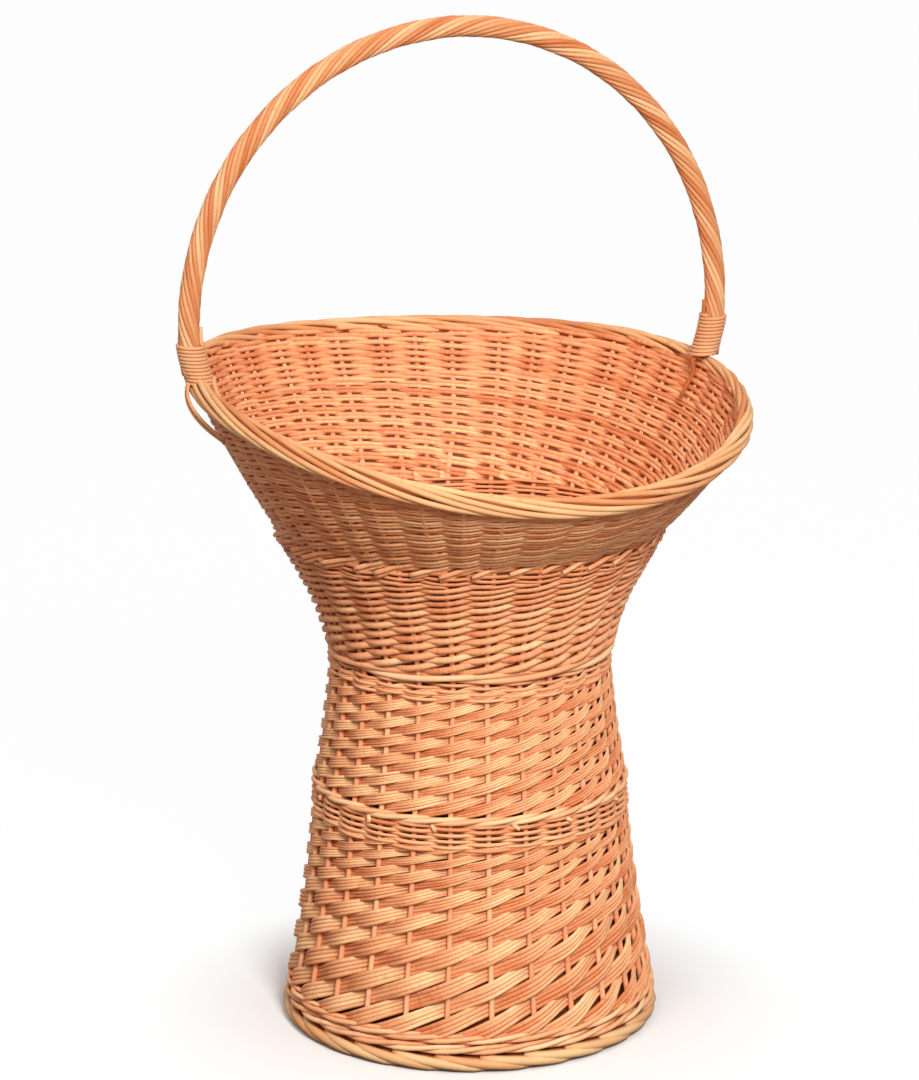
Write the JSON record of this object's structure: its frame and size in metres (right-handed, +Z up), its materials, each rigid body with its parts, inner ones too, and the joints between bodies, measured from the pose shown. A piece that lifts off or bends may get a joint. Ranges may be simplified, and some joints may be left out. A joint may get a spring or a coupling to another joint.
{
  "type": "flower basket",
  "caption": "Tall willow flower basket: a wide tilted bowl on a woven hourglass pedestal, with a high arched handle laid like rope and bound at both feet.",
  "frame": {"origin": "on the floor at the middle of the basket's bounding box, which is the axis of the round foot", "axes": "+Z up along the basket's axis, the handle spans X, the bowl's low lip faces -Y and its high back faces +Y"},
  "size_m": [0.5766, 0.547, 0.9951],
  "materials": {
    "siding_willow": "peeled buff willow rods woven in rows, satin, orange tan with browner shadows between rods",
    "wale_willow": "slightly thicker buff willow rods in twisted wale rows, satin, pinkish tan",
    "stake_willow": "plain upright willow stakes, satin",
    "border_willow": "long smooth willow rods rolled into a border, satin with soft highlights, pale honey",
    "handle_willow": "thin willow rods laid round a core like rope, satin, honey orange",
    "binding_willow": "thin smooth willow rod wound tightly, satin, pale honey"
  },
  "bodies": {
    "root": {"foot_border": "border_willow", "foot_wale": "wale_willow", "pedestal_siding_lower": "siding_willow", "pedestal_mid_wale": "wale_willow", "pedestal_siding_upper": "siding_willow", "neck_wale": "wale_willow", "bowl_base_wale": "wale_willow", "bowl_floor": "siding_willow", "bowl_siding_lower": "siding_willow", "bowl_end_band": "wale_willow", "bowl_siding_upper": "siding_willow", "rim_border": "border_willow", "stake_01": "stake_willow", "stake_02": "stake_willow", "stake_03": "stake_willow", "stake_04": "stake_willow", "stake_05": "stake_willow", "stake_06": "stake_willow", "stake_07": "stake_willow", "stake_08": "stake_willow", "stake_09": "stake_willow", "stake_10": "stake_willow", "stake_11": "stake_willow", "stake_12": "stake_willow", "stake_13": "stake_willow", "stake_14": "stake_willow", "stake_15": "stake_willow", "stake_16": "stake_willow", "stake_17": "stake_willow", "stake_18": "stake_willow", "stake_19": "stake_willow", "stake_20": "stake_willow", "stake_21": "stake_willow", "stake_22": "stake_willow", "stake_23": "stake_willow", "stake_24": "stake_willow", "stake_25": "stake_willow", "stake_26": "stake_willow", "handle_core": "handle_willow", "handle_strand_1": "handle_willow", "handle_strand_2": "handle_willow", "handle_strand_3": "handle_willow", "handle_strand_4": "handle_willow", "handle_binding_left": "binding_willow", "handle_binding_right": "binding_willow", "handle_peg_left": "handle_willow", "handle_peg_right": "handle_willow", "handle_tail_1": "handle_willow", "handle_tail_2": "handle_willow"}
  },
  "joints": []
}
